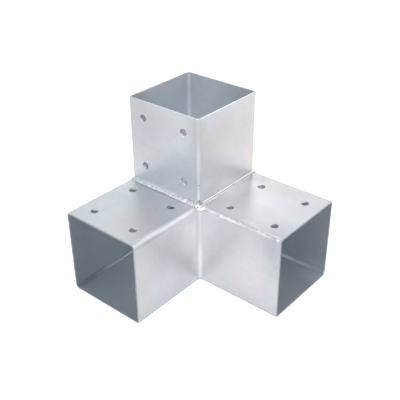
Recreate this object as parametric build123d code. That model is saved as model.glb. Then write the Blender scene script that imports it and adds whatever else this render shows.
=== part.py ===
from build123d import *
import os

os.makedirs("parts", exist_ok=True)

# All sizes are in millimetres.
# X runs out along the right sleeve, -Y out along the left sleeve and +Z up the upright sleeve.

# Sleeves
timber_width = 100.0
sheet = 2.0
left_length = 104.0
right_length = 110.0
upright_length = 104.0

# Folds
bend_inside = 3.0
hollow_corner_radius = 5.0
relief_width = 4.0

# Screw holes, four in a square in the front face of each sleeve
hole_diameter = 9.0
hole_pitch = 60.0
hole_from_end = 21.0
right_holes_shift = -3.5

# Edge welds, which fill the open corner between two sheet edges
root_gap = 1.0
back_root_leg = 2.2

# Rough weld over the right sleeve's front top edge
cap_on_top = 1.4
cap_down_face = 1.6
cap_height = 0.6

# Fillet welds where the upright stands on the two top plates
left_fillet_plate_leg = 8.0
left_fillet_wall_leg = 2.4
left_fillet_crown = 0.5
narrow_run_length = 13.0
narrow_plate_leg = 4.0
narrow_wall_leg = 1.6
narrow_crown = 0.3
end_lump_radius = 3.4
end_lump_off_wall = 2.6
end_lump_sunk = 0.4
right_fillet_plate_leg = 2.6
right_fillet_wall_leg = 1.8
right_fillet_crown = 0.3

# Weld that closes the point where the three sleeves meet
junction_radius = 5.4
junction_below_top = 1.8
junction_to_right = 0.8

# Positions that follow from the sizes
inner = timber_width / 2
half = inner + sheet
middle = inner + sheet / 2
deck = 2 * half
left_end = -half - left_length
right_end = half + right_length
upright_top = deck + upright_length
bend_outside = bend_inside + sheet
bend_middle = bend_inside + sheet / 2
fold_start = half - bend_outside
hollow_fold_start = half + hollow_corner_radius
edge_weld = sheet + root_gap
plate_edge = half - edge_weld
wall_top = deck - edge_weld
plate_under = deck - sheet
hole_centre_from_end = hole_from_end + hole_pitch / 2


def along_x(section, start, end):
    """Run a section drawn in (y, z) along X."""
    return extrude(Pos(X=start) * (Plane.YZ * section), end - start, dir=(1, 0, 0))


def along_y(section, start, end):
    """Run a section drawn in (x, z) along Y."""
    return extrude(Pos(Y=start) * (Plane.XZ * section), end - start, dir=(0, 1, 0))


def along_z(section, start, end):
    """Run a section drawn in (x, y) up Z."""
    return extrude(Pos(Z=start) * section, end - start, dir=(0, 0, 1))


def block(low, high):
    """Box between two opposite corners."""
    size = Vector(*high) - Vector(*low)
    return Pos(*low) * Box(size.X, size.Y, size.Z, align=Align.MIN)


def bent_strip(*corners):
    """Section of a folded sheet, drawn through the middle of its thickness."""
    return trace(FilletPolyline(*corners, radius=bend_middle), line_width=sheet)


def quarter_fold(centre, inside_radius, start_angle):
    """Section of one fold of a quarter turn."""
    return trace(CenterArc(centre, inside_radius + sheet / 2, start_angle, 90), line_width=sheet)


def outline_face(*edges):
    """Face inside a closed run of edges."""
    return make_face(Curve() + list(edges))


def screw_holes(face_plane):
    """Drills for the four holes, centred on a plane that lies on the face."""
    drill = Cylinder(hole_diameter / 2, 4 * sheet)
    return [face_plane * place * drill for place in GridLocations(hole_pitch, hole_pitch, 2, 2)]


def main_folded_sheet():
    """Four sides of the upright, both back walls and the bottom, folded from one sheet."""
    ring = bent_strip(
        (-plate_edge, -middle), (middle, -middle), (middle, middle), (-middle, middle), (-middle, -plate_edge)
    )
    back = bent_strip((right_end, middle), (-middle, middle), (-middle, left_end))
    neck = bent_strip((fold_start, middle), (-middle, middle), (-middle, -plate_edge))
    foot = quarter_fold((-fold_start, bend_outside), bend_inside, 180)
    body = along_z(ring, plate_under, upright_top)
    body += along_z(back, bend_outside, wall_top)
    body += along_z(neck, bend_outside, upright_top)
    body += block((-fold_start, inner, edge_weld), (right_end, half, bend_outside))
    body += along_y(foot, left_end, fold_start)
    body += along_z(bottom_outline(), 0, sheet)
    hole_height = upright_top - hole_centre_from_end
    face = Plane((0, -half, hole_height), x_dir=(1, 0, 0), z_dir=(0, -1, 0))
    return body - screw_holes(face)


def bottom_outline():
    """L-shaped bottom plate, set in from the front walls by the width of the edge weld."""
    plate = make_face(
        Polyline(
            (-fold_start, left_end),
            (plate_edge, left_end),
            (plate_edge, -plate_edge),
            (right_end, -plate_edge),
            (right_end, plate_edge),
            (-fold_start, plate_edge),
            close=True,
        )
    )
    hollow = plate.vertices().sort_by_distance((plate_edge, -plate_edge))[0]
    return fillet(hollow, hollow_corner_radius + edge_weld)


def side_folded_sheet():
    """Top and front wall of the left sleeve and front wall of the right one, from one sheet."""
    sleeve = bent_strip(
        (-plate_edge, deck - sheet / 2), (middle, deck - sheet / 2), (middle, edge_weld)
    )
    hollow = quarter_fold((hollow_fold_start, -hollow_fold_start), hollow_corner_radius, 90)
    body = along_y(sleeve, left_end, -hollow_fold_start)
    body += block(
        (-plate_edge, -hollow_fold_start, plate_under), (half - relief_width, -half, deck)
    )
    body += along_z(hollow, edge_weld, plate_under)
    body += block((hollow_fold_start, -half, edge_weld), (right_end, -inner, wall_top))
    face = Plane((0, left_end + hole_centre_from_end, deck), x_dir=(1, 0, 0), z_dir=(0, 0, 1))
    return body - screw_holes(face)


def right_top_plate():
    """Flat plate that closes the top of the right sleeve."""
    body = block((half, -plate_edge, plate_under), (right_end, plate_edge, deck))
    centre = (right_end - hole_centre_from_end, right_holes_shift, deck)
    return body - screw_holes(Plane(centre, x_dir=(1, 0, 0), z_dir=(0, 0, 1)))


def edge_weld_section(root_leg=root_gap):
    """Section of an edge weld, with the sharp outer corner that it rounds off at the origin."""
    section = outline_face(
        CenterArc((edge_weld, edge_weld), edge_weld, 180, 90),
        Line((edge_weld, 0), (edge_weld, sheet)),
        Line((edge_weld, sheet), (sheet, edge_weld)),
        Line((sheet, edge_weld), (0, edge_weld)),
    )
    if root_leg > root_gap:
        section += outline_face(
            Polyline(
                (sheet, edge_weld), (sheet, sheet + root_leg), (sheet + root_leg, sheet), (edge_weld, sheet),
                close=True,
            )
        )
    return section


def straight_edge_weld(start, end, inward, section):
    """Edge weld between two points of the outer corner; inward points into one of its sheets."""
    run = Vector(*end) - Vector(*start)
    plane = Plane(start, x_dir=inward, z_dir=run)
    return extrude(plane * section, run.length, dir=run)


def left_back_edge_weld():
    """Top edge of the left sleeve's back wall."""
    start = (-half, left_end, deck)
    return straight_edge_weld(start, (-half, -plate_edge, deck), (1, 0, 0), edge_weld_section())


def upright_corner_weld():
    """Outer corner of the upright, where the ends of the folded ring meet."""
    start = (-half, -half, deck)
    return straight_edge_weld(start, (-half, -half, upright_top), (1, 0, 0), edge_weld_section())


def right_back_edge_weld(main_sheet):
    """Top edge of the right sleeve's back wall."""
    start = (fold_start, half, deck)
    raw = straight_edge_weld(start, (right_end, half, deck), (0, -1, 0), edge_weld_section())
    return raw - main_sheet


def front_bottom_edge_weld():
    """Bottom edge of the two front walls, followed round the hollow corner between them."""
    path = FilletPolyline(
        (half, left_end), (half, -half), (right_end, -half), radius=hollow_corner_radius
    )
    start = Plane((half, left_end, 0), x_dir=(-1, 0, 0), z_dir=(0, 1, 0))
    return sweep(start * edge_weld_section(), path=path)


def back_bottom_edge_weld():
    """Bottom edge of the right sleeve's back wall, with the cap that closes the back corner."""
    start = (-fold_start, half, 0)
    seam = straight_edge_weld(start, (right_end, half, 0), (0, 0, 1), edge_weld_section(back_root_leg))
    ball = Sphere(bend_outside) - Sphere(bend_inside)
    cap = ball & block((-bend_outside, 0, -bend_outside), (0, bend_outside, 0))
    return seam + Pos(-fold_start, fold_start, bend_outside) * cap


def right_front_edge_weld():
    """Rough weld that fills and covers the right sleeve's front top edge."""
    face = -half - cap_height
    top = deck + cap_height
    foot = wall_top - cap_down_face
    rim = -plate_edge + cap_on_top
    section = outline_face(
        Line((rim, deck), (-plate_edge, top)),
        Line((-plate_edge, top), (face + edge_weld, top)),
        CenterArc((face + edge_weld, top - edge_weld), edge_weld, 90, 90),
        Line((face, top - edge_weld), (face, wall_top)),
        Line((face, wall_top), (-half, foot)),
        Line((-half, foot), (-half, wall_top)),
        Line((-half, wall_top), (-inner, wall_top)),
        Line((-inner, wall_top), (-plate_edge, plate_under)),
        Line((-plate_edge, plate_under), (-plate_edge, deck)),
        Line((-plate_edge, deck), (rim, deck)),
    )
    return along_x(section, hollow_fold_start, right_end)


def fillet_weld_section(plate_leg, wall_leg, crown):
    """Fillet weld in a corner at the origin, plate along -x and wall up +y, sunk into both."""
    crown_point = (-plate_leg / 2 + crown / 2, wall_leg / 2 + crown)
    return outline_face(
        ThreePointArc((-plate_leg, 0), crown_point, (0, wall_leg)),
        Line((0, wall_leg), (sheet, wall_leg)),
        Line((sheet, wall_leg), (sheet, -sheet)),
        Line((sheet, -sheet), (-plate_leg, -sheet)),
        Line((-plate_leg, -sheet), (-plate_leg, 0)),
    )


def left_fillet_weld(neighbours):
    """Heavy weld between the upright and the left top plate, thinner past its end lump."""
    corner = Pos(-half, deck)
    wide = fillet_weld_section(left_fillet_plate_leg, left_fillet_wall_leg, left_fillet_crown)
    narrow = fillet_weld_section(narrow_plate_leg, narrow_wall_leg, narrow_crown)
    wide_end = fold_start - narrow_run_length
    raw = along_x(corner * wide, -half, wide_end)
    raw += along_x(corner * narrow, wide_end, plate_edge)
    raw += Pos(wide_end, -half - end_lump_off_wall, deck - end_lump_sunk) * Sphere(end_lump_radius)
    return cut_clear(raw, neighbours)


def right_fillet_weld(neighbours):
    """Fine weld between the upright and the right top plate."""
    section = fillet_weld_section(right_fillet_plate_leg, right_fillet_wall_leg, right_fillet_crown)
    corner = Pos(half, deck) * mirror(section, about=Plane.YZ)
    return cut_clear(along_y(corner, -plate_edge, half), neighbours)


def timber_spaces():
    """Spaces that the three timbers take up."""
    spaces = block((-inner, -inner, sheet), (inner, inner, upright_top))
    spaces += block((-inner, left_end, sheet), (inner, inner, plate_under))
    spaces += block((-inner, -inner, sheet), (right_end, inner, plate_under))
    return spaces


def junction_weld(neighbours):
    """Build-up of weld where the corner of the upright meets both top plates."""
    centre = (half + junction_to_right, -half, deck - junction_below_top)
    raw = Pos(*centre) * Sphere(junction_radius)
    return cut_clear(raw - timber_spaces(), neighbours)


def cut_clear(raw, neighbours):
    """Cut a weld back to the faces of its neighbours and keep the one solid outside them."""
    for neighbour in neighbours:
        raw -= neighbour
    return max(raw.solids(), key=lambda piece: piece.volume)


nodes = {
    "main_folded_sheet": main_folded_sheet(),
    "side_folded_sheet": side_folded_sheet(),
    "right_top_plate": right_top_plate(),
    "left_back_edge_weld": left_back_edge_weld(),
    "upright_corner_weld": upright_corner_weld(),
    "front_bottom_edge_weld": front_bottom_edge_weld(),
    "back_bottom_edge_weld": back_bottom_edge_weld(),
    "right_front_edge_weld": right_front_edge_weld(),
}
nodes["right_back_edge_weld"] = right_back_edge_weld(nodes["main_folded_sheet"])
nodes["left_fillet_weld"] = left_fillet_weld(list(nodes.values()))
nodes["right_fillet_weld"] = right_fillet_weld(list(nodes.values()))
nodes["junction_weld"] = junction_weld(list(nodes.values()))

for name, solid in nodes.items():
    export_step(solid, f"parts/{name}.step")
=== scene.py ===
import math

import bmesh
import bpy
from bpy.props import FloatProperty, FloatVectorProperty, IntProperty, PointerProperty
from mathutils import Matrix, Vector


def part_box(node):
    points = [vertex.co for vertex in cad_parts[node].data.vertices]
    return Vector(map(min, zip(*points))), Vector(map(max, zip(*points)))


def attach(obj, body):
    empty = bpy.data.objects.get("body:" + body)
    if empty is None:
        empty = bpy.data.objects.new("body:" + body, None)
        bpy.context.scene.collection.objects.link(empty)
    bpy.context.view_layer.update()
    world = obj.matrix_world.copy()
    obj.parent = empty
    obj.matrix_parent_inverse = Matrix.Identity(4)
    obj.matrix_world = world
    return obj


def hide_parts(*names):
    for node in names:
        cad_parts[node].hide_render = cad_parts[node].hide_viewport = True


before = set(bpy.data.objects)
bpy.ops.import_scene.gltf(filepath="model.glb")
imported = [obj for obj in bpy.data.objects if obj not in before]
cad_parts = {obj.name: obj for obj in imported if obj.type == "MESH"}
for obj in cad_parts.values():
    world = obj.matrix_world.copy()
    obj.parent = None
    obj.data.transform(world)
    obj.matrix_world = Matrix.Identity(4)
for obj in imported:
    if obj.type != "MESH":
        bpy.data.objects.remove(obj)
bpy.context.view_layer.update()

bl_info = {
    "name": "Corner Post Connector",
    "version": (1, 0, 0),
    "blender": (4, 5, 0),
    "location": "3D View > Sidebar > Connector",
    "description": "Finishes a welded zinc-coated corner connector: sheets, weld beads and stage",
    "category": "Object",
}

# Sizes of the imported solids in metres: half the width of a sleeve, the height of the lying
# sleeves, the sheet's thickness, an edge weld's reach on each side, and the open ends
MAIN_LOW, MAIN_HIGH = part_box("main_folded_sheet")
PLATE_LOW, PLATE_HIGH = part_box("right_top_plate")
HALF = -MAIN_LOW.x
DECK = PLATE_HIGH.z
SHEET = PLATE_HIGH.z - PLATE_LOW.z
EDGE_WELD = HALF - PLATE_HIGH.y
LEFT_END = MAIN_LOW.y
RIGHT_END = MAIN_HIGH.x
UPRIGHT_TOP = MAIN_HIGH.z
ROOT_GAP = EDGE_WELD - SHEET
HOLLOW_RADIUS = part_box("right_front_edge_weld")[0].x - HALF

MM = 0.001
X_AXIS, Y_AXIS, Z_AXIS = Vector((1, 0, 0)), Vector((0, 1, 0)), Vector((0, 0, 1))
# Facets of a quarter turn, and steps of a drawn curve between two of its points
ARC_STEPS = 12
CURVE_STEPS = 3
# Distance between two sections of a weld, and play when a face is matched to a plane
STATION_GAP = 0.6 * MM
EPSILON = 0.02 * MM


class SheetFinish(bpy.types.PropertyGroup):
    """Colours and grain of the zinc-coated sheet"""

    cool: FloatVectorProperty(
        name="Cool zinc",
        description="Blue-grey tone of the zinc coat",
        subtype="COLOR",
        default=(0.515, 0.585, 0.632),
        min=0,
        max=1,
    )
    warm: FloatVectorProperty(
        name="Warm zinc",
        description="Pale tone of the zinc coat",
        subtype="COLOR",
        default=(0.565, 0.605, 0.638),
        min=0,
        max=1,
    )
    # Rim zinc: bright zinc on the rounded edges and hole rims, partly the coat's edge tone and
    # partly a painted highlight
    rim: FloatVectorProperty(
        name="Rim zinc",
        description="Bright tone of the zinc along cut edges and hole rims",
        subtype="COLOR",
        default=(0.86, 0.89, 0.92),
        min=0,
        max=1,
    )
    cut: FloatVectorProperty(
        name="Cut zinc",
        description="Dull tone of the zinc on the cut ends of the lying sleeves",
        subtype="COLOR",
        default=(0.31, 0.325, 0.365),
        min=0,
        max=1,
    )
    edge_radius: FloatProperty(
        name="Edge radius",
        description="Rounding of the zinc along cut edges and hole rims",
        unit="LENGTH",
        default=0.0005,
    )
    cloud_size: FloatProperty(
        name="Cloud size",
        description="Width of the soft patches of tone",
        unit="LENGTH",
        default=0.07,
    )
    spangle_size: FloatProperty(
        name="Spangle size",
        description="Width of one zinc crystal",
        unit="LENGTH",
        default=0.006,
    )
    roughness: FloatProperty(
        name="Roughness",
        description="Mean roughness of the coat",
        subtype="FACTOR",
        default=0.34,
        min=0,
        max=1,
    )
    metallic: FloatProperty(
        name="Metallic",
        description="Share of the light that reflects as from bare metal",
        subtype="FACTOR",
        default=0.6,
        min=0,
        max=1,
    )


class WeldShape(bpy.types.PropertyGroup):
    """Sizes of the weld beads and their ripples"""

    colour: FloatVectorProperty(
        name="Weld zinc",
        description="Bright tone of the zinc over a weld",
        subtype="COLOR",
        default=(0.76, 0.84, 0.90),
        min=0,
        max=1,
    )
    coarse_pitch: FloatProperty(
        name="Coarse pitch",
        description="Length of one ripple of the heavy weld",
        unit="LENGTH",
        default=0.0083,
    )
    fine_pitch: FloatProperty(
        name="Fine pitch",
        description="Length of one ripple of the fine welds",
        unit="LENGTH",
        default=0.003,
    )
    ripple_height: FloatProperty(
        name="Ripple height",
        description="How far a ripple of the heavy weld stands out",
        unit="LENGTH",
        default=0.0004,
    )
    spatter_density: FloatProperty(
        name="Spatter density",
        description="Small drops per square metre beside the welds",
        default=9000.0,
    )
    seed: IntProperty(
        name="Seed",
        description="Number that sets the unevenness of the beads",
        default=7,
    )


class StageSetup(bpy.types.PropertyGroup):
    """Camera and lamps"""

    azimuth: FloatProperty(
        name="Azimuth",
        description="Camera's turn round the upright, from the front of the left sleeve",
        subtype="ANGLE",
        default=math.radians(40.237),
    )
    elevation: FloatProperty(
        name="Elevation",
        description="Camera's height above the horizon",
        subtype="ANGLE",
        default=math.radians(30.939),
    )
    roll: FloatProperty(
        name="Roll",
        description="Camera's turn round its own axis",
        subtype="ANGLE",
        default=math.radians(-0.442),
    )
    distance: FloatProperty(
        name="Distance",
        description="From the aim point to the camera",
        unit="LENGTH",
        default=0.833,
    )
    aim: FloatVectorProperty(
        name="Aim point",
        description="Point in the middle of the picture",
        subtype="XYZ",
        unit="LENGTH",
        default=(0.00978, -0.00097, 0.07143),
    )
    lens: FloatProperty(
        name="Lens",
        description="Focal length in millimetres",
        default=60.96,
    )


class Number:
    """A number socket. Python sums on it add Math nodes to its tree."""

    def __init__(self, maker, socket):
        self.maker = maker
        self.socket = socket

    def __add__(self, other):
        return self.maker.math("ADD", self, other)

    def __radd__(self, other):
        return self.maker.math("ADD", other, self)

    def __sub__(self, other):
        return self.maker.math("SUBTRACT", self, other)

    def __rsub__(self, other):
        return self.maker.math("SUBTRACT", other, self)

    def __mul__(self, other):
        return self.maker.math("MULTIPLY", self, other)

    def __rmul__(self, other):
        return self.maker.math("MULTIPLY", other, self)

    def __truediv__(self, other):
        return self.maker.math("DIVIDE", self, other)

    def __rtruediv__(self, other):
        return self.maker.math("DIVIDE", other, self)


class NodeMaker:
    """Adds nodes to one shader or geometry tree."""

    def __init__(self, tree):
        self.tree = tree
        tree.nodes.clear()

    def add(self, kind, settings=None, inputs=None):
        """New node with its settings made first, then values or links on its sockets."""
        node = self.tree.nodes.new(kind)
        for name, value in (settings or {}).items():
            if name == "stops":
                self.set_stops(node.color_ramp, value)
            else:
                setattr(node, name, value)
        for key, value in (inputs or {}).items():
            if isinstance(value, Number):
                value = value.socket
            if isinstance(value, bpy.types.NodeSocket):
                self.tree.links.new(value, node.inputs[key])
            else:
                node.inputs[key].default_value = value
        return node

    def set_stops(self, ramp, stops):
        """Give a ramp its stops, each a position and a colour."""
        while len(ramp.elements) < len(stops):
            ramp.elements.new(1)
        for element, (position, colour) in zip(ramp.elements, stops):
            element.position = position
            element.color = colour

    def math(self, operation, *values):
        """Math node on values and sockets."""
        node = self.add("ShaderNodeMath", {"operation": operation}, dict(enumerate(values)))
        return Number(self, node.outputs[0])

    def noise(self, vector, size, detail, roughness):
        """Soft noise whose patches are about size across, from 0 to 1."""
        node = self.add(
            "ShaderNodeTexNoise",
            {},
            {"Vector": vector, "Scale": 1 / size, "Detail": detail, "Roughness": roughness},
        )
        return Number(self, node.outputs[0])

    def step(self, value, low, high):
        """Smooth step from 0 below low to 1 above high."""
        node = self.add(
            "ShaderNodeMapRange",
            {"interpolation_type": "SMOOTHSTEP"},
            {"Value": value, "From Min": low, "From Max": high},
        )
        return Number(self, node.outputs[0])

    def mix(self, factor, first, second):
        """Colour between two colours."""
        node = self.add(
            "ShaderNodeMix", {"data_type": "RGBA"}, {0: factor, 6: first, 7: second}
        )
        return node.outputs[2]

    def scaled(self, colour, share):
        """Colour or vector times a number."""
        node = self.add(
            "ShaderNodeVectorMath", {"operation": "SCALE"}, {"Vector": colour, "Scale": share}
        )
        return node.outputs[0]

    def stretch(self, vector, scale):
        """Vector with its axes scaled."""
        node = self.add("ShaderNodeMapping", {}, {"Vector": vector, "Scale": scale})
        return node.outputs[0]


def rgba(colour):
    """Colour with full cover."""
    return (*colour, 1.0)


def new_material(name):
    """New material and the maker of its nodes."""
    material = bpy.data.materials.new(name)
    material.use_nodes = True
    return material, NodeMaker(material.node_tree)


def object_place(make):
    """Object coordinates."""
    return make.add("ShaderNodeTexCoord").outputs["Object"]


def axes_of(make, place):
    """The three numbers of a place."""
    axes = make.add("ShaderNodeSeparateXYZ", {}, {"Vector": place})
    return [Number(make, axes.outputs[i]) for i in range(3)]


def finish_shader(make, colour, roughness, metallic, height, bump_distance):
    """Close a material with one shader and a fine bump."""
    bump = make.add(
        "ShaderNodeBump", {}, {"Height": height, "Strength": 1.0, "Distance": bump_distance}
    )
    shader = make.add(
        "ShaderNodeBsdfPrincipled",
        {},
        {
            "Base Color": colour,
            "Roughness": roughness,
            "Metallic": metallic,
            "Normal": bump.outputs[0],
        },
    )
    make.add("ShaderNodeOutputMaterial", {}, {"Surface": shader.outputs[0]})


# Soft patches that shift the zinc colour: middle and reach in millimetres, and how they shift the
# colour. A few are the coat's own cloudy tone; most are painted light and shade: broad patches
# even out the faces' lighting, small ones paint highlights on folds, light in holes and hollows,
# and shade in creases and under a weld
PAINTED_LIGHT_AND_TONE_PATCHES = (
    # Broad patches over the faces: partly the coat's cloudy tone, partly painted light and shade
    ((0, -52, 206), (95, 25, 48), (0.93, 0.86, 0.82)),
    ((-30, -52, 168), (62, 20, 60), (0.93, 0.86, 0.87)),
    ((52, -30, 190), (20, 50, 50), (0.86, 0.84, 0.84)),
    ((52, 15, 180), (20, 55, 60), (0.90, 0.87, 0.85)),
    ((52, 50, 150), (20, 28, 50), (1.08, 1.02, 0.97)),
    ((66, 0, 104), (22, 65, 20), (1.08, 1.06, 1.05)),
    ((88, -34, 104), (42, 50, 12), (1.20, 1.15, 1.14)),
    ((148, -38, 104), (42, 30, 8), (0.84, 0.86, 0.87)),
    ((155, -52, 95), (35, 20, 28), (0.84, 0.85, 0.87)),
    ((140, -52, 22), (52, 20, 60), (1.15, 1.06, 1.07)),
    ((52, -105, 62), (20, 40, 40), (0.88, 0.90, 0.92)),
    ((52, -142, 72), (20, 46, 52), (0.94, 0.91, 0.90)),
    ((52, -80, 25), (20, 26, 40), (0.90, 0.90, 0.92)),
    # Painted shade along the upright's front fold
    ((51, -51, 132), (4, 4, 38), (0.80, 0.80, 0.80)),
    # Bluer tint over the left sleeve's top fold highlight, a painted highlight on that fold near
    # the open end with painted shade just below it, and painted shade on the fold near the
    # junction
    ((52, -104, 104), (5, 75, 5), (0.90, 0.97, 0.99)),
    ((48.4, -132, 104), (4, 34, 2.5), (1.34, 1.34, 1.32)),
    ((53, -134, 99.5), (3, 34, 5), (0.78, 0.78, 0.79)),
    ((51, -64, 103.5), (6, 14, 5), (0.90, 0.91, 0.91)),
    # More broad patches: partly the coat's tone, partly painted light and shade
    ((92, -38, 104), (22, 18, 10), (1.08, 1.08, 1.08)),
    ((52, -72, 72), (20, 20, 40), (1.06, 1.07, 1.08)),
    ((155, -52, 72), (22, 20, 34), (0.90, 0.91, 0.92)),
    # Painted shade along the hollow corner's fold, then painted light on both walls of the hollow
    # corner
    ((54, -54, 78), (5, 5, 45), (0.78, 0.79, 0.80)),
    ((60, -52, 26), (12, 12, 34), (1.08, 1.08, 1.08)),
    ((52, -60, 26), (12, 12, 34), (1.07, 1.07, 1.07)),
    ((52, -62, 72), (6, 6, 34), (1.08, 1.08, 1.08)),
    # Painted shade at the foot of the upright's +X face
    ((52, -30, 112), (10, 28, 14), (0.90, 0.91, 0.91)),
    # Painted light and shade on the right deck beside the upright and on the foot of the upright's
    # +X face
    ((60, 2, 104), (20, 36, 4), (1.22, 1.19, 1.18)),
    ((66, 44, 104), (20, 18, 4), (0.80, 0.79, 0.78)),
    ((52, 38, 124), (8, 36, 38), (1.02, 0.975, 0.95)),
    ((95, 34, 104), (42, 26, 4), (0.96, 0.92, 0.90)),
    ((112, -16, 104), (26, 20, 4), (0.95, 0.92, 0.91)),
    # Painted shadow along the toe of the left fillet weld
    ((-9, -59.3, 104), (60, 1.9, 1.5), (0.74, 0.74, 0.76)),
    # More broad patches: partly the coat's tone, partly painted light and shade
    ((52, -150, 12), (10, 30, 34), (1.05, 0.99, 0.95)),
    ((115, -46, 104), (20, 8, 4), (1.10, 1.09, 1.09)),
    # Painted light inside two holes of the upright's front wall
    ((30, -50.4, 125), (8, 1.4, 6), (1.7, 1.6, 1.55)),
    ((-30, -50.4, 125), (8, 1.4, 6), (1.6, 1.5, 1.45)),
    # More broad patches: partly the coat's tone, partly painted light and shade
    ((43, -62, 104), (12, 8, 4), (1.16, 1.12, 1.10)),
    ((160, -52, 88), (10, 12, 26), (1.07, 1.02, 1.01)),
    # Painted shade in the left sleeve's inner bottom corner
    ((-50, -104, 2), (5, 130, 5), (0.62, 0.62, 0.64)),
    # Painted highlights along the upright's and the right sleeve's inner back corners, and painted
    # light inside the right sleeve's open end
    ((-49, 49, 178), (4, 4, 80), (1.25, 1.22, 1.20)),
    ((-49, 49, 203), (3.5, 3.5, 26), (1.20, 1.18, 1.16)),
    ((110, 50, 2), (70, 4, 5), (1.30, 1.28, 1.26)),
    ((160, 40, 6), (45, 22, 26), (1.26, 1.27, 1.29)),
    # Painted light on a hole wall in the right deck and on inner walls seen through holes, and
    # painted shade on one inner wall
    ((81, 26.5, 102.6), (6, 6, 1.2), (1.7, 1.6, 1.55)),
    ((-50, -32, 112), (1.5, 14, 14), (1.8, 1.65, 1.55)),
    ((-50, 37, 61), (1.5, 12, 14), (1.6, 1.45, 1.38)),
    ((-50, 12, 29), (1.5, 12, 11), (0.45, 0.45, 0.48)),
    ((60, 50, 84), (14, 1.5, 14), (1.8, 1.65, 1.55)),
)


def zinc_sheet_material(finish):
    """Bright zinc on rolled sheet: soft clouds, faint crystals and rolling lines, with patches of
    painted light and shade.
    """
    material, make = new_material("zinc_sheet")
    place = object_place(make)
    patches = make.noise(place, finish.cloud_size, 2.0, 0.45)
    crystals = make.add(
        "ShaderNodeTexVoronoi", {}, {"Vector": place, "Scale": 1 / finish.spangle_size}
    )
    crystal_tone = make.add("ShaderNodeSeparateColor", {}, {"Color": crystals.outputs["Color"]})
    tone = Number(make, crystal_tone.outputs[0])
    rolled = make.noise(make.stretch(place, (0.06, 1.0, 1.0)), 2.2 * MM, 3.0, 0.6)
    grain = make.noise(place, 0.6 * MM, 3.0, 0.6)
    mottle = make.noise(place, 2 * MM, 3.0, 0.65)
    warmth = make.step(patches + (tone - 0.5) * 0.10 + (rolled - 0.5) * 0.16, 0.36, 0.66)
    colour = make.mix(warmth, rgba(finish.cool), rgba(finish.warm))
    speckle = 1 + (mottle - 0.5) * 0.12 + (rolled - 0.5) * 0.08 + (tone - 0.5) * 0.02
    colour = make.scaled(colour, speckle)
    # Patches of painted light and shade, and a few of the coat's own tone
    for middle, reach, shift in PAINTED_LIGHT_AND_TONE_PATCHES:
        colour = paint_light_and_tone_patch(make, place, colour, middle, reach, shift)
    roughness = finish.roughness + (patches - 0.5) * 0.10 + (grain - 0.5) * 0.10
    height = rolled * 0.6 + grain * 0.4
    finish_shader(make, colour, roughness, finish.metallic, height, 0.04 * MM)
    return material


def zinc_rim_material(finish):
    """Zinc on rounded edges and hole rims, bright and partly a painted highlight, and on the cut
    ends of the sleeves, dull.
    """
    material, make = new_material("zinc_rim")
    place = object_place(make)
    x, y, z = axes_of(make, place)
    grain = make.noise(place, 1.5 * MM, 3.0, 0.6)
    end = 0.8 * MM
    side_end = make.math(
        "MAXIMUM",
        make.step(y, LEFT_END + 2 * end, LEFT_END + end),
        make.step(x, RIGHT_END - 2 * end, RIGHT_END - end),
    )
    top_end = make.step(z, UPRIGHT_TOP - 2 * end, UPRIGHT_TOP - end)
    front_wall = make.step(y, 2 * SHEET - HALF, 1.2 * SHEET - HALF)
    back_wall = make.step(y, HALF - 2 * SHEET, HALF - 1.2 * SHEET)
    # Bright edge zinc, partly a painted highlight on the rounded edges
    edge_zinc_with_highlight = make.mix(grain, rgba(finish.cool), rgba(finish.rim))
    top_zinc = make.scaled(finish.cool, 0.9 - front_wall * 0.16)
    cut_zinc = make.scaled(finish.cut, 1 + back_wall * 0.7)
    colour = make.mix(side_end, make.mix(top_end, edge_zinc_with_highlight, top_zinc), cut_zinc)
    finish_shader(make, colour, finish.roughness + 0.08, finish.metallic, grain, 0.1 * MM)
    return material


def paint_light_and_tone_patch(make, place, colour, middle, reach, shift):
    """Shift the colour inside one ellipsoid, fully near its middle and not at all at its reach: a
    patch of painted light, of painted shade or of the coat's own tone.
    """
    away = make.add(
        "ShaderNodeVectorMath",
        {"operation": "SUBTRACT"},
        {0: place, 1: [part * MM for part in middle]},
    )
    scaled = make.add(
        "ShaderNodeVectorMath",
        {"operation": "DIVIDE"},
        {0: away.outputs[0], 1: [part * MM for part in reach]},
    )
    length = make.add("ShaderNodeVectorMath", {"operation": "LENGTH"}, {0: scaled.outputs[0]})
    inside = 1 - make.step(Number(make, length.outputs["Value"]), 0.2, 1.0)
    blend = make.add(
        "ShaderNodeMix",
        {"data_type": "RGBA", "blend_type": "MULTIPLY"},
        {0: inside, 6: colour, 7: rgba(shift)},
    )
    return blend.outputs[2]


# Tone of the brightest crest, a painted highlight
HIGHLIGHT_TOP_TONE = 1.5


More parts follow.
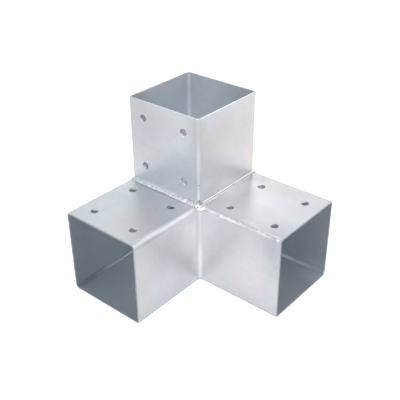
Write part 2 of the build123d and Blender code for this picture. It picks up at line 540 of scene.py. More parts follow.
def weld_material(name, shape, beading, pitch, pit_share=0.6):
    """Zinc over a weld: its tone runs from painted shade in creases over plain zinc to painted
    highlights on crests.

    One dark gap of painted shade between ripples comes in each pitch, as strong as beading, and
    small pits change the tone by pit_share.
    """
    material, make = new_material(name)
    place = object_place(make)
    tone = named_number(make, "tone")
    run = named_number(make, "run")
    rise = named_number(make, "rise")
    pits = make.noise(place, 1.8 * MM, 3.0, 0.6)
    patches = make.noise(place, 5 * MM, 1.0, 0.5)
    grain = make.noise(place, 0.5 * MM, 2.0, 0.6)
    phase = run * (2 * math.pi / pitch) + pits * 2.5 + patches * 5.0
    stripe = make.math("SINE", phase) * 0.5 + 0.5
    gaps = make.step(stripe, 0.55, 0.35) * rise * beading
    shade = tone + (pits - 0.5) * pit_share + (patches - 0.5) * 0.6 - gaps * 0.65
    # The ramp's dark end paints shade in creases and at toes; its top end paints highlights on
    # crests
    stops = (
        (0.0, (0.24, 0.26, 0.29, 1)),
        (0.27, (0.50, 0.54, 0.58, 1)),
        (0.67, rgba(shape.colour)),
        (1.0, (0.94, 0.97, 1.0, 1)),
    )
    ramp = make.add("ShaderNodeValToRGB", {"stops": stops}, {0: shade / HIGHLIGHT_TOP_TONE})
    roughness = 0.40 + (grain - 0.5) * 0.2
    height = pits * 0.7 + grain * 0.3
    finish_shader(make, ramp.outputs[0], roughness, 0.5, height, 0.2 * MM)
    return material


def named_number(make, name):
    """Number that the mesh carries at each point."""
    node = make.add("ShaderNodeAttribute", {"attribute_name": name})
    return Number(make, node.outputs["Fac"])


# Weld beads. Each point of a section is a place on two axes, then its rise, the share of the
# ripples that lifts it, and its tone, from 0 for painted shade in a crease to HIGHLIGHT_TOP_TONE
# for a painted highlight on a crest.

PLAIN_TONE = 0.4


def edge_section(tone=PLAIN_TONE):
    """Edge weld's section as (inward, down, rise, tone) from the sharp outer corner."""
    points = []
    for step in range(ARC_STEPS + 1):
        turn = math.radians(180 + 90 * step / ARC_STEPS)
        free = math.sin(math.pi * step / ARC_STEPS)
        inward = EDGE_WELD + EDGE_WELD * math.cos(turn)
        down = EDGE_WELD + EDGE_WELD * math.sin(turn)
        # The tone doubles towards the middle of the arc: a painted highlight along the bead's
        # crown
        points.append((inward, down, free, tone + tone * free))
    foot = [(EDGE_WELD, SHEET), (SHEET, EDGE_WELD)]
    return points + [(*point, 0, PLAIN_TONE) for point in foot]


def heavy_section(plate_leg, wall_leg, crown, tone):
    """Fillet weld's section as (out, up, rise, tone) from the corner of the two sheets."""
    # Tones: a dark strip at the toe on the plate paints the bead's shadow, the crown gets a
    # painted highlight, the wall's end painted shade
    curve = [
        (plate_leg, -0.1 * MM, 0, 0.2),
        (plate_leg - 0.7 * MM, 0.15 * MM, 0, 0.1),
        (plate_leg - 1.1 * MM, wall_leg * 0.3, 0.5, 0.9 * tone),
        (plate_leg * 0.72, wall_leg * 0.45 + crown * 0.6, 1, tone),
        (plate_leg * 0.50, wall_leg * 0.65 + crown, 1, tone * 1.1),
        (plate_leg * 0.28, wall_leg * 0.90 + crown * 0.7, 1, tone * 1.15),
        (plate_leg * 0.10, wall_leg * 1.05, 0.5, tone * 1.1),
        (0, wall_leg * 1.15, 0, 0.3),
    ]
    return spline(curve) + buried_foot(plate_leg, wall_leg)


def fine_section(plate_leg, wall_leg, tone):
    """Fine fillet's section: a beaded ridge on the plate, a hollow, a plain ridge on the wall."""
    # Tones: painted highlights on both ridges, painted shade in the hollow between them and at
    # both ends
    curve = [
        (plate_leg, -0.1 * MM, 0, 0.3),
        (plate_leg * 0.93, 0.45 * MM, 0.8, tone),
        (plate_leg * 0.76, 0.75 * MM, 1, tone * 1.15),
        (plate_leg * 0.60, 0.50 * MM, 0.7, tone * 0.65),
        (plate_leg * 0.42, 0.40 * MM, 0.1, 0.35),
        (plate_leg * 0.30, wall_leg * 0.35, 0, 0.35),
        (plate_leg * 0.34, wall_leg * 0.58, 0.2, 0.45),
        (plate_leg * 0.30, wall_leg * 0.88, 0.3, 1.2),
        (plate_leg * 0.18, wall_leg * 1.10, 0.3, 0.95),
        (0, wall_leg * 1.18, 0, 0.3),
    ]
    return spline(curve) + buried_foot(plate_leg, wall_leg)


def buried_foot(plate_leg, wall_leg):
    """Back of a fillet weld, a little inside both sheets."""
    sunk = -0.25 * MM
    foot = [(sunk, wall_leg), (sunk, sunk), (plate_leg, sunk)]
    return [(*point, 0, PLAIN_TONE) for point in foot]


def cap_section(height, tone):
    """Rough edge weld's section as (inward, down, rise, tone) from the sharp outer corner."""
    size = EDGE_WELD
    # Tones: plain on top, a painted highlight on the side facing out and down, painted shade at
    # its lower toe
    curve = [
        (size + 0.9 * MM, 0.05 * MM, 0, 0.62),
        (size, -height * 0.25, 0.3, 0.62),
        (size * 0.60, -height * 0.35, 0.5, 0.62),
        (size * 0.30, -height * 0.20, 0.7, 0.65),
        (size * 0.08, size * 0.08, 0.8, 0.3 + 0.55 * tone),
        (-height * 0.5, size * 0.30, 1, 0.15 + 0.75 * tone),
        (-height * 0.9, size * 0.60, 1, 0.15 + 0.75 * tone),
        (-height, size * 0.90, 1, 0.15 + 0.70 * tone),
        (-height * 0.9, size * 1.20, 0.8, 0.6 * tone),
        (-height * 0.5, size * 1.38, 0.3, 0.4 * tone),
        (0.1 * MM, size * 1.50, 0, 0.1),
    ]
    foot = [(0.0, size), (SHEET, size), (size, SHEET), (size, 0.3 * MM)]
    return spline(curve) + [(*point, 0, PLAIN_TONE) for point in foot]


def spline(points):
    """Points of a smooth curve through the given ones."""
    padded = [points[0], *points, points[-1]]
    curve = []
    for four in zip(padded, padded[1:], padded[2:], padded[3:]):
        for step in range(CURVE_STEPS):
            share = step / CURVE_STEPS
            curve.append(tuple(between(*values, share) for values in zip(*four)))
    return [*curve, points[-1]]


def between(p, q, r, s, t):
    """Value at share t of the way from q to r, where the curve comes from p and goes on to s."""
    bend = 2 * p - 5 * q + 4 * r - s
    turn_back = 3 * q - p - 3 * r + s
    return 0.5 * (2 * q + (r - p) * t + bend * t**2 + turn_back * t**3)


def smooth(share):
    """Smooth step from 0 to 1."""
    share = min(max(share, 0.0), 1.0)
    return share * share * (3 - 2 * share)


def blend_along(stops, place):
    """Value between the two stops on either side of a place."""
    for (low, first), (high, second) in zip(stops, stops[1:]):
        if place <= high:
            share = max(0.0, (place - low) / (high - low))
            return first + (second - first) * share
    return stops[-1][1]


def straight_run(start, end, u, v):
    """Stations along a straight weld: place, two section axes and the distance run."""
    start, end = Vector(start), Vector(end)
    length = (end - start).length
    count = max(2, round(length / STATION_GAP))
    stations = []
    for step in range(count + 1):
        place = start.lerp(end, step / count)
        stations.append((place, u, v, length * step / count))
    return stations


def new_piece(mesh):
    """Object that shows a mesh under the mesh's name."""
    piece = bpy.data.objects.new(mesh.name, mesh)
    bpy.context.scene.collection.objects.link(piece)
    return piece


def carry(mesh, name, values):
    """Give each point of a mesh a number that materials and trees read by name."""
    mesh.attributes.new(name, "FLOAT", "POINT").data.foreach_set("value", values)


def bead_mesh(name, stations, sections):
    """Closed mesh that joins the sections from station to station, with its ripple values."""
    verts, faces, runs, rises, tones = [], [], [], [], []
    ring = len(sections[0])
    for (place, u, v, run), section in zip(stations, sections):
        for a, b, rise, tone in section:
            verts.append(place + u * a + v * b)
            runs.append(run)
            rises.append(rise)
            tones.append(tone)
    for row in range(len(stations) - 1):
        for column in range(ring):
            after = (column + 1) % ring
            low = row * ring
            faces.append((low + column, low + after, low + ring + after, low + ring + column))
    faces.append(tuple(reversed(range(ring))))
    last = (len(stations) - 1) * ring
    faces.append(tuple(range(last, last + ring)))
    mesh = bpy.data.meshes.new(name)
    mesh.from_pydata(verts, [], faces)
    carry(mesh, "run", runs)
    carry(mesh, "rise", rises)
    carry(mesh, "tone", tones)
    point_outward(mesh)
    return new_piece(mesh)


def point_outward(mesh):
    """Turn all faces of a closed mesh outwards."""
    work = bmesh.new()
    work.from_mesh(mesh)
    bmesh.ops.recalc_face_normals(work, faces=work.faces)
    work.to_mesh(mesh)
    work.free()


def geometry_tree(name, sizes):
    """New geometry tree with named sizes, a seed and a finish: the tree, its maker, its inputs."""
    tree = bpy.data.node_groups.new(name, "GeometryNodeTree")
    face = tree.interface
    face.new_socket("Geometry", in_out="INPUT", socket_type="NodeSocketGeometry")
    for size, default in sizes.items():
        socket = face.new_socket(size, in_out="INPUT", socket_type="NodeSocketFloat")
        socket.default_value = default
    face.new_socket("Seed", in_out="INPUT", socket_type="NodeSocketInt").default_value = 0
    face.new_socket("Finish", in_out="INPUT", socket_type="NodeSocketMaterial")
    face.new_socket("Geometry", in_out="OUTPUT", socket_type="NodeSocketGeometry")
    make = NodeMaker(tree)
    return tree, make, make.add("NodeGroupInput").outputs


def ripple_tree():
    """Geometry nodes that raise ripples and lumps on a bead along its run."""
    sizes = {
        "Ripple Pitch": 8 * MM,
        "Ripple Height": 0.6 * MM,
        "Lump Size": 6 * MM,
        "Lump Height": 0.6 * MM,
    }
    tree, make, given = geometry_tree("weld_ripples", sizes)
    run = make.add("GeometryNodeInputNamedAttribute", {"data_type": "FLOAT"}, {"Name": "run"})
    rise = make.add("GeometryNodeInputNamedAttribute", {"data_type": "FLOAT"}, {"Name": "rise"})
    run = Number(make, run.outputs[0])
    rise = Number(make, rise.outputs[0])
    place = make.add("GeometryNodeInputPosition").outputs[0]
    seed = Number(make, given["Seed"])
    lumps = make.add(
        "ShaderNodeTexNoise",
        {"noise_dimensions": "4D"},
        {
            "Vector": place,
            "W": seed * 3.7,
            "Scale": 1 / Number(make, given["Lump Size"]),
            "Detail": 2.0,
        },
    )
    lump = Number(make, lumps.outputs[0]) - 0.5
    phase = run / given["Ripple Pitch"] + lump * 0.9 - (1 - rise) * 0.25
    ripple = make.math("ABSOLUTE", make.math("SINE", phase * math.pi))
    lift = rise * ((ripple - 0.5) * given["Ripple Height"] + lump * 2.0 * given["Lump Height"])
    normal = make.add("GeometryNodeInputNormal").outputs[0]
    moved = make.add(
        "GeometryNodeSetPosition",
        {},
        {"Geometry": given["Geometry"], "Offset": make.scaled(normal, lift)},
    )
    realized = make.add("GeometryNodeRealizeInstances", {}, {"Geometry": moved.outputs[0]})
    coated = make.add(
        "GeometryNodeSetMaterial",
        {},
        {"Geometry": realized.outputs[0], "Material": given["Finish"]},
    )
    make.add("NodeGroupOutput", {}, {"Geometry": coated.outputs[0]})
    return tree


def apply_tree(piece, tree, values):
    """Run a geometry tree on a piece and keep the result as its plain mesh."""
    modifier = piece.modifiers.new(tree.name, "NODES")
    modifier.node_group = tree
    for item in tree.interface.items_tree:
        if item.in_out == "INPUT" and item.name in values:
            modifier[item.identifier] = values[item.name]
    plain_mesh(piece)
    for polygon in piece.data.polygons:
        polygon.use_smooth = True


def plain_weld_zinc():
    """Zinc without beads, shared by the plainer welds and the loose drops."""
    shape = bpy.context.scene.connector_weld
    made = bpy.data.materials.get("weld_zinc")
    return made or weld_material("weld_zinc", shape, 0.0, shape.fine_pitch)


def rippled(piece, node, pitch, height, lump_size, lump_height, finish=None):
    """Raise ripples and lumps on a bead, coat it and let it stand for its solid."""
    values = {
        "Ripple Pitch": pitch,
        "Ripple Height": height,
        "Lump Size": lump_size,
        "Lump Height": lump_height,
        "Seed": bpy.context.scene.connector_weld.seed,
        "Finish": finish or plain_weld_zinc(),
    }
    tree = bpy.data.node_groups.get("weld_ripples") or ripple_tree()
    apply_tree(piece, tree, values)
    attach(piece, "root")
    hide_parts(node)


def merged_copy(solid, name, flatten=False):
    """Copy of a solid's mesh with its triangles joined, and its flat faces made one if wanted."""
    mesh = solid.data.copy()
    mesh.transform(solid.matrix_world)
    mesh.name = name
    work = bmesh.new()
    work.from_mesh(mesh)
    bmesh.ops.remove_doubles(work, verts=work.verts, dist=0.01 * MM)
    if flatten:
        bmesh.ops.dissolve_limit(
            work, angle_limit=math.radians(0.5), verts=work.verts, edges=work.edges
        )
    for face in work.faces:
        face.smooth = True
        face.material_index = 0
    work.to_mesh(mesh)
    work.free()
    mesh.materials.clear()
    return mesh


def plain_mesh(piece):
    """Turn a piece and its modifiers into one plain mesh."""
    evaluated = piece.evaluated_get(bpy.context.evaluated_depsgraph_get())
    mesh = bpy.data.meshes.new_from_object(evaluated)
    piece.modifiers.clear()
    piece.data = mesh
    mesh.name = piece.name


def add_ball(work, place, radius):
    """Add a small ball to a mesh in work, at a place and radius in millimetres."""
    matrix = Matrix.Translation(Vector(place) * MM)
    bmesh.ops.create_icosphere(work, subdivisions=2, radius=radius * MM, matrix=matrix)


SHEETS = ("main_folded_sheet", "side_folded_sheet", "right_top_plate")


class CONNECTOR_OT_sheets(bpy.types.Operator):
    """Give the three sheets their zinc finish"""

    bl_idname = "connector.sheets"
    bl_label = "Finish Sheets"

    def execute(self, context):
        finish = context.scene.connector_sheet
        material = zinc_sheet_material(finish)
        rim = zinc_rim_material(finish)
        for name in SHEETS:
            self.round_edges(name, material, rim, finish.edge_radius)
        return {"FINISHED"}

    def round_edges(self, name, material, rim, radius):
        """Copy a sheet and round its cut edges, which get the rim's zinc with the cut ends."""
        mesh = merged_copy(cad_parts[name], "coated_" + name, flatten=True)
        mesh.materials.append(material)
        mesh.materials.append(rim)
        piece = new_piece(mesh)
        bevel = piece.modifiers.new("rounded_edges", "BEVEL")
        bevel.width = radius
        bevel.segments = 2
        bevel.limit_method = "ANGLE"
        bevel.angle_limit = math.radians(50)
        bevel.material = 1
        flat = piece.modifiers.new("flat_faces_stay_flat", "WEIGHTED_NORMAL")
        flat.weight = 100
        plain_mesh(piece)
        for face in piece.data.polygons:
            middle = face.center
            side_end = middle.y < LEFT_END + EPSILON or middle.x > RIGHT_END - EPSILON
            if side_end or middle.z > UPRIGHT_TOP - EPSILON:
                face.material_index = 1
        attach(piece, "root")
        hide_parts(name)


class CONNECTOR_OT_edge_welds(bpy.types.Operator):
    """Make the even edge welds that close the sheet corners"""

    bl_idname = "connector.edge_welds"
    bl_label = "Make Edge Welds"

    def execute(self, context):
        shape = context.scene.connector_weld
        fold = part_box("right_back_edge_weld")[0].x
        inner_end = EDGE_WELD - HALF
        seams = (
            (
                "left_back_edge_weld",
                straight_run(
                    (-HALF, LEFT_END, DECK), (-HALF, inner_end, DECK), X_AXIS, -Z_AXIS
                ),
            ),
            (
                "upright_corner_weld",
                straight_run(
                    (-HALF, -HALF, DECK), (-HALF, -HALF, UPRIGHT_TOP), X_AXIS, Y_AXIS
                ),
            ),
            (
                "right_back_edge_weld",
                straight_run((fold, HALF, DECK), (RIGHT_END, HALF, DECK), -Y_AXIS, -Z_AXIS),
            ),
        )
        for name, stations in seams:
            piece = bead_mesh("bead_" + name, stations, [edge_section()] * len(stations))
            height = shape.ripple_height * 0.5
            rippled(piece, name, shape.fine_pitch, height, 6 * MM, 0.3 * MM)
        self.front_bottom(shape)
        self.back_bottom()
        return {"FINISHED"}

    def front_bottom(self, shape):
        """Weld under both front walls, followed round the hollow corner."""
        centre = Vector((HALF + HOLLOW_RADIUS, -HALF - HOLLOW_RADIUS, 0))
        stations = straight_run((HALF, LEFT_END, 0), (HALF, centre.y, 0), -X_AXIS, Z_AXIS)
        run = stations[-1][3]
        for step in range(1, ARC_STEPS):
            swept = math.radians(90 * step / ARC_STEPS)
            away = Vector((-math.cos(swept), math.sin(swept), 0))
            place = centre + away * HOLLOW_RADIUS
            stations.append((place, away, Z_AXIS, run + swept * HOLLOW_RADIUS))
        run += math.radians(90) * HOLLOW_RADIUS
        last = straight_run((centre.x, -HALF, 0), (RIGHT_END, -HALF, 0), Y_AXIS, Z_AXIS)
        stations += [(place, u, v, run + more) for place, u, v, more in last]
        # A low tone: painted shade along the weld at the foot of the walls
        sections = [edge_section(tone=0.26)] * len(stations)
        piece = bead_mesh("bead_front_bottom_edge_weld", stations, sections)
        height = shape.ripple_height * 0.3
        rippled(piece, "front_bottom_edge_weld", shape.fine_pitch, height, 6 * MM, 0.2 * MM)

    def back_bottom(self):
        """Let the hidden weld keep its solid, with the zinc of the sheets."""
        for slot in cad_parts["back_bottom_edge_weld"].material_slots:
            slot.material = bpy.data.materials["zinc_sheet"]


# Left fillet, at places along X in millimetres: its tone, with a painted highlight on the lump
# where the heavy pass ends and painted shade just past it, and its leg on the plate
LEFT_TONES = (
    (-52, 0.7), (-44, 0.9), (-20, 0.9), (5, 0.85), (14, 0.8), (31, 0.75), (34.5, 1.15),
    (36, 1.15), (37.5, 0.4), (41, 0.8), (49, 0.85),
)
LEFT_LEGS = (
    (-52, 4.2), (-46, 6.6), (-20, 6.5), (5, 6.3), (15, 6.9), (35, 7.0), (38, 7.4), (49, 7.2),
)
# Where the heavy pass ends in a lump and a thinner pass goes on to the corner
LEFT_PASS_END = 36.5


class CONNECTOR_OT_fillet_welds(bpy.types.Operator):
    """Make the fillet welds where the upright stands on the two top plates"""

    bl_idname = "connector.fillet_welds"
    bl_label = "Make Fillet Welds"

    def execute(self, context):
        self.left_weld(context.scene.connector_weld)
        self.right_weld(context.scene.connector_weld)
        return {"FINISHED"}

    def left_weld(self, shape):
        """Heavy rippled fillet on the left sleeve."""
        low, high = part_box("left_fillet_weld")
        start = (low.x + 0.8 * MM, -HALF, DECK)
        stations = straight_run(start, (high.x, -HALF, DECK), -Y_AXIS, Z_AXIS)
        sections = [self.left_section(place.x / MM) for place, *_ in stations]
        piece = bead_mesh("bead_left_fillet_weld", stations, sections)
        pitch = shape.coarse_pitch * 0.8
        finish = weld_material("weld_heavy", shape, 0.22, pitch)
        rippled(
            piece, "left_fillet_weld", pitch, shape.ripple_height, 4 * MM, 0.55 * MM, finish
        )

    def left_section(self, along):
        """Section of the left fillet at a place along X in millimetres."""
        past = smooth((along - LEFT_PASS_END) / 2)
        lump = math.exp(-(((along - LEFT_PASS_END + 1.5) / 2.2) ** 2))
        taper = 1 - smooth((along + HALF / MM) / 6)
        wall_leg = (2.0 - 0.6 * taper) * (1 - past) + 1.7 * past + 0.4 * lump
        crown = 0.5 * (1 - past) + 0.3 * past + 1.3 * lump
        plate_leg = blend_along(LEFT_LEGS, along)
        tone = blend_along(LEFT_TONES, along)
        return heavy_section(plate_leg * MM, wall_leg * MM, crown * MM, tone)

    def right_weld(self, shape):
        """Fine beaded fillet on the right sleeve, brighter at its front end."""
        low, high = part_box("right_fillet_weld")
        plate_leg = high.x - HALF + 0.5 * MM
        stations = straight_run((HALF, low.y, DECK), (HALF, high.y, DECK), X_AXIS, Z_AXIS)
        sections = []
        for place, *_ in stations:
            tone = 1.05 - 0.35 * smooth((place.y + HALF) / (2 * HALF))
            sections.append(fine_section(plate_leg, 1.8 * MM, tone))
        piece = bead_mesh("bead_right_fillet_weld", stations, sections)
        finish = weld_material("weld_beads", shape, 1.0, shape.fine_pitch)
        height = shape.ripple_height * 0.5
        rippled(
            piece, "right_fillet_weld", shape.fine_pitch, height, 2 * MM, 0.3 * MM, finish
        )


# Right front edge weld, at places along X in millimetres: its height and its tone, which sets how
# strong the painted highlight along it is
EDGE_HEIGHTS = (
    (57, 0.3), (64, 0.5), (71, 1.0), (76, 0.6), (81, 0.6), (83, 1.5), (86, 0.8), (100, 0.8),
    (118, 0.7), (128, 0.4), (150, 0.4), (155, 0.3), (158.5, 0.8), (160, 0.5), (162, 0.4),
)
EDGE_TONES = (
    (57, 0.45), (63, 0.45), (67, 0.68), (75, 0.7), (77, 0.5), (81, 0.5), (83, 0.8), (100, 0.68),
    (118, 0.65), (126, 0.6), (129, 0.5), (134, 0.68), (148, 0.7), (154, 0.3), (157.5, 0.8),
    (159, 0.7), (160.5, 0.45), (162, 0.45),
)


class CONNECTOR_OT_front_edge_weld(bpy.types.Operator):
    """Make the rough weld along the right sleeve's front top edge"""

    bl_idname = "connector.front_edge_weld"
    bl_label = "Make Front Edge Weld"

    def execute(self, context):
        shape = context.scene.connector_weld
        low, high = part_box("right_front_edge_weld")
        stations = straight_run((low.x, -HALF, DECK), (high.x, -HALF, DECK), Y_AXIS, -Z_AXIS)
        sections = []
        for place, *_ in stations:
            height = blend_along(EDGE_HEIGHTS, place.x / MM) * MM
            tone = blend_along(EDGE_TONES, place.x / MM)
            sections.append(cap_section(height, tone))
        piece = bead_mesh("bead_right_front_edge_weld", stations, sections)
        pitch = shape.coarse_pitch * 0.6
        height = shape.ripple_height * 0.3
        rippled(piece, "right_front_edge_weld", pitch, height, 3 * MM, 0.4 * MM)
        return {"FINISHED"}


# Drops of metal on the junction weld: place and radius in millimetres, then tone; high tones paint
# highlights on the drops, low ones make dark spots
DROPS = (
    (51.5, -53.8, 106.8, 1.0, 0.9), (52.2, -55.0, 106.3, 1.0, 1.0),
    (51.7, -55.9, 105.5, 1.0, 1.1), (53.7, -55.6, 105.6, 0.8, 1.0),
    (55.1, -55.2, 105.2, 0.8, 1.1), (56.0, -54.4, 105.2, 0.7, 1.0),
    (57.2, -50.0, 104.2, 0.8, 0.8), (58.1, -51.2, 103.8, 0.9, 0.8),
    (57.9, -52.7, 102.9, 0.9, 1.0), (58.4, -52.4, 101.8, 1.0, 0.9),
    (57.5, -54.1, 101.8, 1.2, 1.15), (56.5, -55.5, 102.0, 1.1, 1.0),
    (55.0, -56.2, 102.1, 0.8, 0.6), (54.9, -51.8, 106.9, 0.8, -0.2),
    (55.0, -53.1, 106.7, 0.7, -0.3), (57.1, -52.7, 105.0, 0.7, -0.1),
    (56.9, -54.2, 104.4, 0.7, 0.0), (53.3, -57.0, 103.3, 1.2, 0.6),
    (49.4, -56.0, 104.7, 1.2, 0.9), (50.9, -57.1, 103.6, 1.0, 0.8),
)
# Tone of the metal between the drops, and how far a drop's own tone reaches past its radius
BETWEEN_DROPS = 0.36
DROP_MARGIN = 0.25


class CONNECTOR_OT_junction_weld(bpy.types.Operator):
    """Make the lumpy weld where the three sleeves meet"""

    bl_idname = "connector.junction_weld"
    bl_label = "Make Junction Weld"

    def execute(self, context):
        shape = context.scene.connector_weld
        mesh = merged_copy(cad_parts["junction_weld"], "bead_junction_weld")
        self.add_drops(mesh)
        piece = new_piece(mesh)
        remesh = piece.modifiers.new("even_mesh", "REMESH")
        remesh.mode = "VOXEL"
        remesh.voxel_size = 0.25 * MM
        plain_mesh(piece)
        even = piece.data
        count = len(even.vertices)
        carry(even, "run", [0.0] * count)
        carry(even, "rise", [1.0] * count)
        carry(even, "tone", [self.tone_at(vertex.co / MM) for vertex in even.vertices])
        point_outward(even)
        finish = weld_material("weld_lumps", shape, 0.0, shape.fine_pitch, pit_share=1.0)
        rippled(piece, "junction_weld", 1.0, 0.0, 2.6 * MM, 0.8 * MM, finish)
        return {"FINISHED"}

    def add_drops(self, mesh):
        """Add the drops to the solid's mesh, as loose balls that the remesh joins to it."""
        work = bmesh.new()
        work.from_mesh(mesh)
        for *place, radius, _ in DROPS:
            add_ball(work, place, radius)
        work.to_mesh(mesh)
        work.free()

    def tone_at(self, place):
        """Tone of the nearest drop, or of the plain weld metal between drops."""
        nearest, found = 1.0, BETWEEN_DROPS
        for x, y, z, radius, tone in DROPS:
            away = (place - Vector((x, y, z))).length / (radius + DROP_MARGIN)
            if away < nearest:
                nearest, found = away, tone
        edge = smooth((nearest - 0.75) / 0.25)
        return found + (BETWEEN_DROPS - found) * edge


# Flat strips beside the welds that catch spatter, as two opposite corners in millimetres
STRIPS = (
    ((-50, -67, 104), (30, -60, 104)),
    ((-46, -52, 108), (46, -52, 116)),
    ((55.5, -44, 104), (63, 48, 104)),
    ((60, -46, 104), (158, -40, 104)),
    ((60, -52, 88), (158, -52, 98)),
)
# Specks of slag on the upright's front fold: place and radius in millimetres
SPECKS = ((50.7, -49.9, 108.6, 1.0), (50.5, -50.0, 128.4, 0.9), (50.4, -49.9, 123.7, 0.75))
# Larger drops of zinc and weld metal: place and radius in millimetres
NUBS = (
    (51.7, 48.9, 107.4, 0.9), (53.4, 50.0, 104.9, 0.8), (55.3, -29.0, 104.1, 0.4),
    (56.0, -28.0, 104.1, 0.45), (56.7, -27.1, 104.1, 0.35), (158.7, -51.9, 103.4, 1.1),
    (160.6, 49.4, 4.4, 0.9), (51.2, -155.3, 103.3, 0.75),
)
SPATTER_TONE = 0.9
# Nubs take a tone past the top of the weld ramp: a painted highlight on each nub
NUB_HIGHLIGHT_TONE = 1.6


def spatter_tree():
    """Geometry nodes that scatter small balls of mixed size over a surface."""
    sizes = {"Density": 8000.0, "Least Size": 0.1 * MM, "Greatest Size": 0.4 * MM}
    tree, make, given = geometry_tree("weld_spatter", sizes)
    points = make.add(
        "GeometryNodeDistributePointsOnFaces",
        {},
        {"Mesh": given["Geometry"], "Density": given["Density"], "Seed": given["Seed"]},
    )
    ball = make.add("GeometryNodeMeshIcoSphere", {}, {"Radius": 1.0, "Subdivisions": 2})
    size = make.add(
        "FunctionNodeRandomValue",
        {"data_type": "FLOAT"},
        {2: given["Least Size"], 3: given["Greatest Size"], "Seed": given["Seed"]},
    )
    balls = make.add(
        "GeometryNodeInstanceOnPoints",
        {},
        {
            "Points": points.outputs["Points"],
            "Instance": ball.outputs["Mesh"],
            "Scale": size.outputs[1],
        },
    )
    realized = make.add("GeometryNodeRealizeInstances", {}, {"Geometry": balls.outputs[0]})
    toned = make.add(
        "GeometryNodeStoreNamedAttribute",
        {"data_type": "FLOAT", "domain": "POINT"},
        {"Geometry": realized.outputs[0], "Name": "tone", "Value": SPATTER_TONE},
    )
    coated = make.add(
        "GeometryNodeSetMaterial", {}, {"Geometry": toned.outputs[0], "Material": given["Finish"]}
    )
    make.add("NodeGroupOutput", {}, {"Geometry": coated.outputs[0]})
    return tree


def slag_material():
    """Dull dark slag."""
    material, make = new_material("slag")
    grain = make.noise(object_place(make), 0.6 * MM, 2.0, 0.6)
    colour = make.mix(grain, (0.10, 0.11, 0.12, 1), (0.20, 0.21, 0.22, 1))
    finish_shader(make, colour, grain * 0.2 + 0.6, 0.0, grain, 0.1 * MM)
    return material


class CONNECTOR_OT_spatter(bpy.types.Operator):
    """Scatter small drops of weld metal beside the welds, and place the specks and nubs"""

    bl_idname = "connector.spatter"
    bl_label = "Scatter Spatter"

    def execute(self, context):
        shape = context.scene.connector_weld
        piece = self.strips()
        values = {
            "Density": shape.spatter_density,
            "Least Size": 0.12 * MM,
            "Greatest Size": 0.38 * MM,
            "Seed": shape.seed,
            "Finish": plain_weld_zinc(),
        }
        apply_tree(piece, spatter_tree(), values)
        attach(piece, "root")
        self.balls("slag_specks", SPECKS, slag_material())
        self.balls("weld_nubs", NUBS, plain_weld_zinc())
        return {"FINISHED"}

    def strips(self):
        """One rectangle for each strip. The spatter takes their place."""
        corners, faces = [], []
        for (x, y, z), (far_x, far_y, far_z) in STRIPS:
            count = len(corners)
            faces.append((count, count + 1, count + 2, count + 3))
            ring = ((x, y, z), (far_x, y, z), (far_x, far_y, far_z), (x, far_y, far_z))
            corners += [Vector(corner) * MM for corner in ring]
        mesh = bpy.data.meshes.new("weld_spatter")
        mesh.from_pydata(corners, [], faces)
        return new_piece(mesh)

    def balls(self, name, places, material):
        """Balls partly sunk in the metal at given places."""
        work = bmesh.new()
        for *place, radius in places:
            add_ball(work, place, radius)
        mesh = bpy.data.meshes.new(name)
        work.to_mesh(mesh)
        work.free()
        carry(mesh, "tone", [NUB_HIGHLIGHT_TONE] * len(mesh.vertices))
        mesh.materials.append(material)
        for face in mesh.polygons:
            face.use_smooth = True
        piece = new_piece(mesh)
        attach(piece, "root")


# The part's middle, which the soft lamps aim at, then the lamps: place, aim point, power, colour,
# size and, for a spot, its cone in degrees
MIDDLE = (0.03, -0.03, 0.08)
LAMPS = {
    "lamp_front": ((0.745, -0.882, 0.530), MIDDLE, 2.2, (1.0, 0.93, 0.93), 1.0, 0),
    "lamp_low": ((0.799, -0.947, 0.164), MIDDLE, 1.7, (0.9, 0.95, 1.0), 0.6, 0),
    "lamp_back": ((0.694, 0.819, 0.807), MIDDLE, 8.7, (1.0, 0.83, 0.78), 1.4, 0),
    "lamp_far_right": ((-0.343, 0.995, 0.788), MIDDLE, 2.6, (1.0, 0.85, 0.82), 0.9, 0),
    "lamp_far_left": ((-0.805, 0.671, 0.788), MIDDLE, 2.35, (1.0, 1.0, 0.98), 0.9, 0),
    "lamp_left": ((-0.698, -0.709, 0.916), MIDDLE, 3.8, (1.0, 0.98, 0.98), 0.9, 0),
    "lamp_into_upright": ((0.32, -0.38, 1.05), (0, 0, 0.2), 65.0, (1.0, 0.98, 1.0), 0.02, 9),
    "lamp_down_upright": ((0.0, 0.0, 1.25), (0, 0, 0), 80.0, (1.0, 1.0, 1.0), 0.02, 4.0),
    "lamp_into_corner": (
        (0.75, -0.86, 0.30), (0.055, -0.055, 0.08), 60.0, (1.0, 0.72, 0.64), 0.05, 8.5
    ),
}

# The floor's rings from the middle out, as radius and height in metres: flat, then a rising rim
FLOOR_RINGS = ((1, -0.0002), (5, -0.0002), (7, 0.15), (8.5, 0.8), (9.3, 2.0), (9.6, 3.5))
FLOOR_SIDES = 48
# How bright the floor is where it is seen, and the even light from all round
FLOOR_GLOW = 0.75
WORLD_LIGHT = 0.4


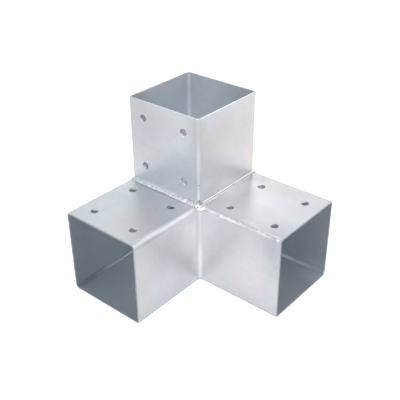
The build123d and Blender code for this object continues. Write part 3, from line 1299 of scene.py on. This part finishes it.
class CONNECTOR_OT_stage(bpy.types.Operator):
    """Make the floor, lamps, world and camera"""

    bl_idname = "connector.stage"
    bl_label = "Make Stage"

    def execute(self, context):
        self.floor()
        self.world(context)
        self.lamps(context)
        self.camera(context, context.scene.connector_stage)
        context.scene.view_settings.view_transform = "Standard"
        return {"FINISHED"}

    def floor(self):
        """Wide dish that glows white for the camera and sends plain light up."""
        mesh = bpy.data.meshes.new("floor")
        corners, faces = [(0, 0, FLOOR_RINGS[0][1])], []
        for radius, height in FLOOR_RINGS:
            for step in range(FLOOR_SIDES):
                turn = 2 * math.pi * step / FLOOR_SIDES
                corners.append((radius * math.cos(turn), radius * math.sin(turn), height))
        for step in range(FLOOR_SIDES):
            after = (step + 1) % FLOOR_SIDES
            faces.append((0, 1 + step, 1 + after))
            for ring in range(len(FLOOR_RINGS) - 1):
                low = 1 + ring * FLOOR_SIDES
                high = low + FLOOR_SIDES
                faces.append((low + step, high + step, high + after, low + after))
        mesh.from_pydata(corners, [], faces)
        floor = new_piece(mesh)
        material, make = new_material("pale_floor")
        seen = make.add("ShaderNodeLightPath").outputs
        direct = make.math("MAXIMUM", seen["Is Camera Ray"], seen["Is Glossy Ray"])
        direct = make.math("MAXIMUM", direct, seen["Is Transmission Ray"])
        paint = make.add("ShaderNodeBsdfDiffuse", {}, {"Color": (0.8, 0.8, 0.8, 1)})
        glow = make.add(
            "ShaderNodeEmission", {}, {"Color": (1, 1, 1, 1), "Strength": direct * FLOOR_GLOW}
        )
        both = make.add("ShaderNodeAddShader", {}, {0: paint.outputs[0], 1: glow.outputs[0]})
        make.add("ShaderNodeOutputMaterial", {}, {"Surface": both.outputs[0]})
        mesh.materials.append(material)

    def world(self, context):
        """Even pale light from all round."""
        world = bpy.data.worlds.new("studio")
        world.use_nodes = True
        context.scene.world = world
        make = NodeMaker(world.node_tree)
        back = make.add(
            "ShaderNodeBackground", {}, {"Color": (1, 1, 1, 1), "Strength": WORLD_LIGHT}
        )
        make.add("ShaderNodeOutputWorld", {}, {"Surface": back.outputs[0]})

    def lamps(self, context):
        """Soft lamps round the part, and narrow spots into the upright and the hollow corner."""
        for name, (place, aim, power, colour, size, cone) in LAMPS.items():
            data = bpy.data.lights.new(name, "SPOT" if cone else "AREA")
            data.energy = power
            data.color = colour
            if cone:
                data.spot_size = math.radians(cone)
                data.spot_blend = 0.8
                data.shadow_soft_size = size
            else:
                data.size = size
            lamp = bpy.data.objects.new(name, data)
            lamp.location = place
            lamp.rotation_mode = "QUATERNION"
            lamp.rotation_quaternion = (Vector(aim) - Vector(place)).to_track_quat("-Z", "Y")
            context.scene.collection.objects.link(lamp)

    def camera(self, context, stage):
        """Camera on a sphere round the aim point."""
        around, up = stage.azimuth, stage.elevation
        back = Vector(
            (math.sin(around) * math.cos(up), -math.cos(around) * math.cos(up), math.sin(up))
        )
        right = Vector((math.cos(around), math.sin(around), 0))
        turned = Matrix.Rotation(stage.roll, 3, back) @ right
        axes = Matrix((turned, back.cross(turned), back)).transposed()
        data = bpy.data.cameras.new("camera")
        data.lens = stage.lens
        data.clip_start = 0.01
        camera = bpy.data.objects.new("camera", data)
        place = Vector(stage.aim) + back * stage.distance
        camera.matrix_world = Matrix.Translation(place) @ axes.to_4x4()
        context.scene.collection.objects.link(camera)
        context.scene.camera = camera


class CONNECTOR_PT_panel(bpy.types.Panel):
    """Lists the connector's sizes, colours and steps"""

    bl_label = "Corner Post Connector"
    bl_idname = "CONNECTOR_PT_panel"
    bl_space_type = "VIEW_3D"
    bl_region_type = "UI"
    bl_category = "Connector"

    def draw(self, context):
        scene = context.scene
        for group in (scene.connector_sheet, scene.connector_weld, scene.connector_stage):
            box = self.layout.box()
            for name in group.__annotations__:
                box.prop(group, name)
        for step in OPERATORS:
            self.layout.operator(step.bl_idname)


GROUPS = {
    "connector_sheet": SheetFinish,
    "connector_weld": WeldShape,
    "connector_stage": StageSetup,
}
OPERATORS = (
    CONNECTOR_OT_sheets,
    CONNECTOR_OT_edge_welds,
    CONNECTOR_OT_fillet_welds,
    CONNECTOR_OT_front_edge_weld,
    CONNECTOR_OT_junction_weld,
    CONNECTOR_OT_spatter,
    CONNECTOR_OT_stage,
)


def register():
    for name, group in GROUPS.items():
        bpy.utils.register_class(group)
        setattr(bpy.types.Scene, name, PointerProperty(type=group))
    for step in (*OPERATORS, CONNECTOR_PT_panel):
        bpy.utils.register_class(step)


def unregister():
    for step in reversed((*OPERATORS, CONNECTOR_PT_panel)):
        bpy.utils.unregister_class(step)
    for name, group in reversed(GROUPS.items()):
        delattr(bpy.types.Scene, name)
        bpy.utils.unregister_class(group)


def main():
    register()
    bpy.ops.connector.sheets()
    bpy.ops.connector.edge_welds()
    bpy.ops.connector.fillet_welds()
    bpy.ops.connector.front_edge_weld()
    bpy.ops.connector.junction_weld()
    bpy.ops.connector.spatter()
    bpy.ops.connector.stage()


if __name__ == "__main__":
    main()
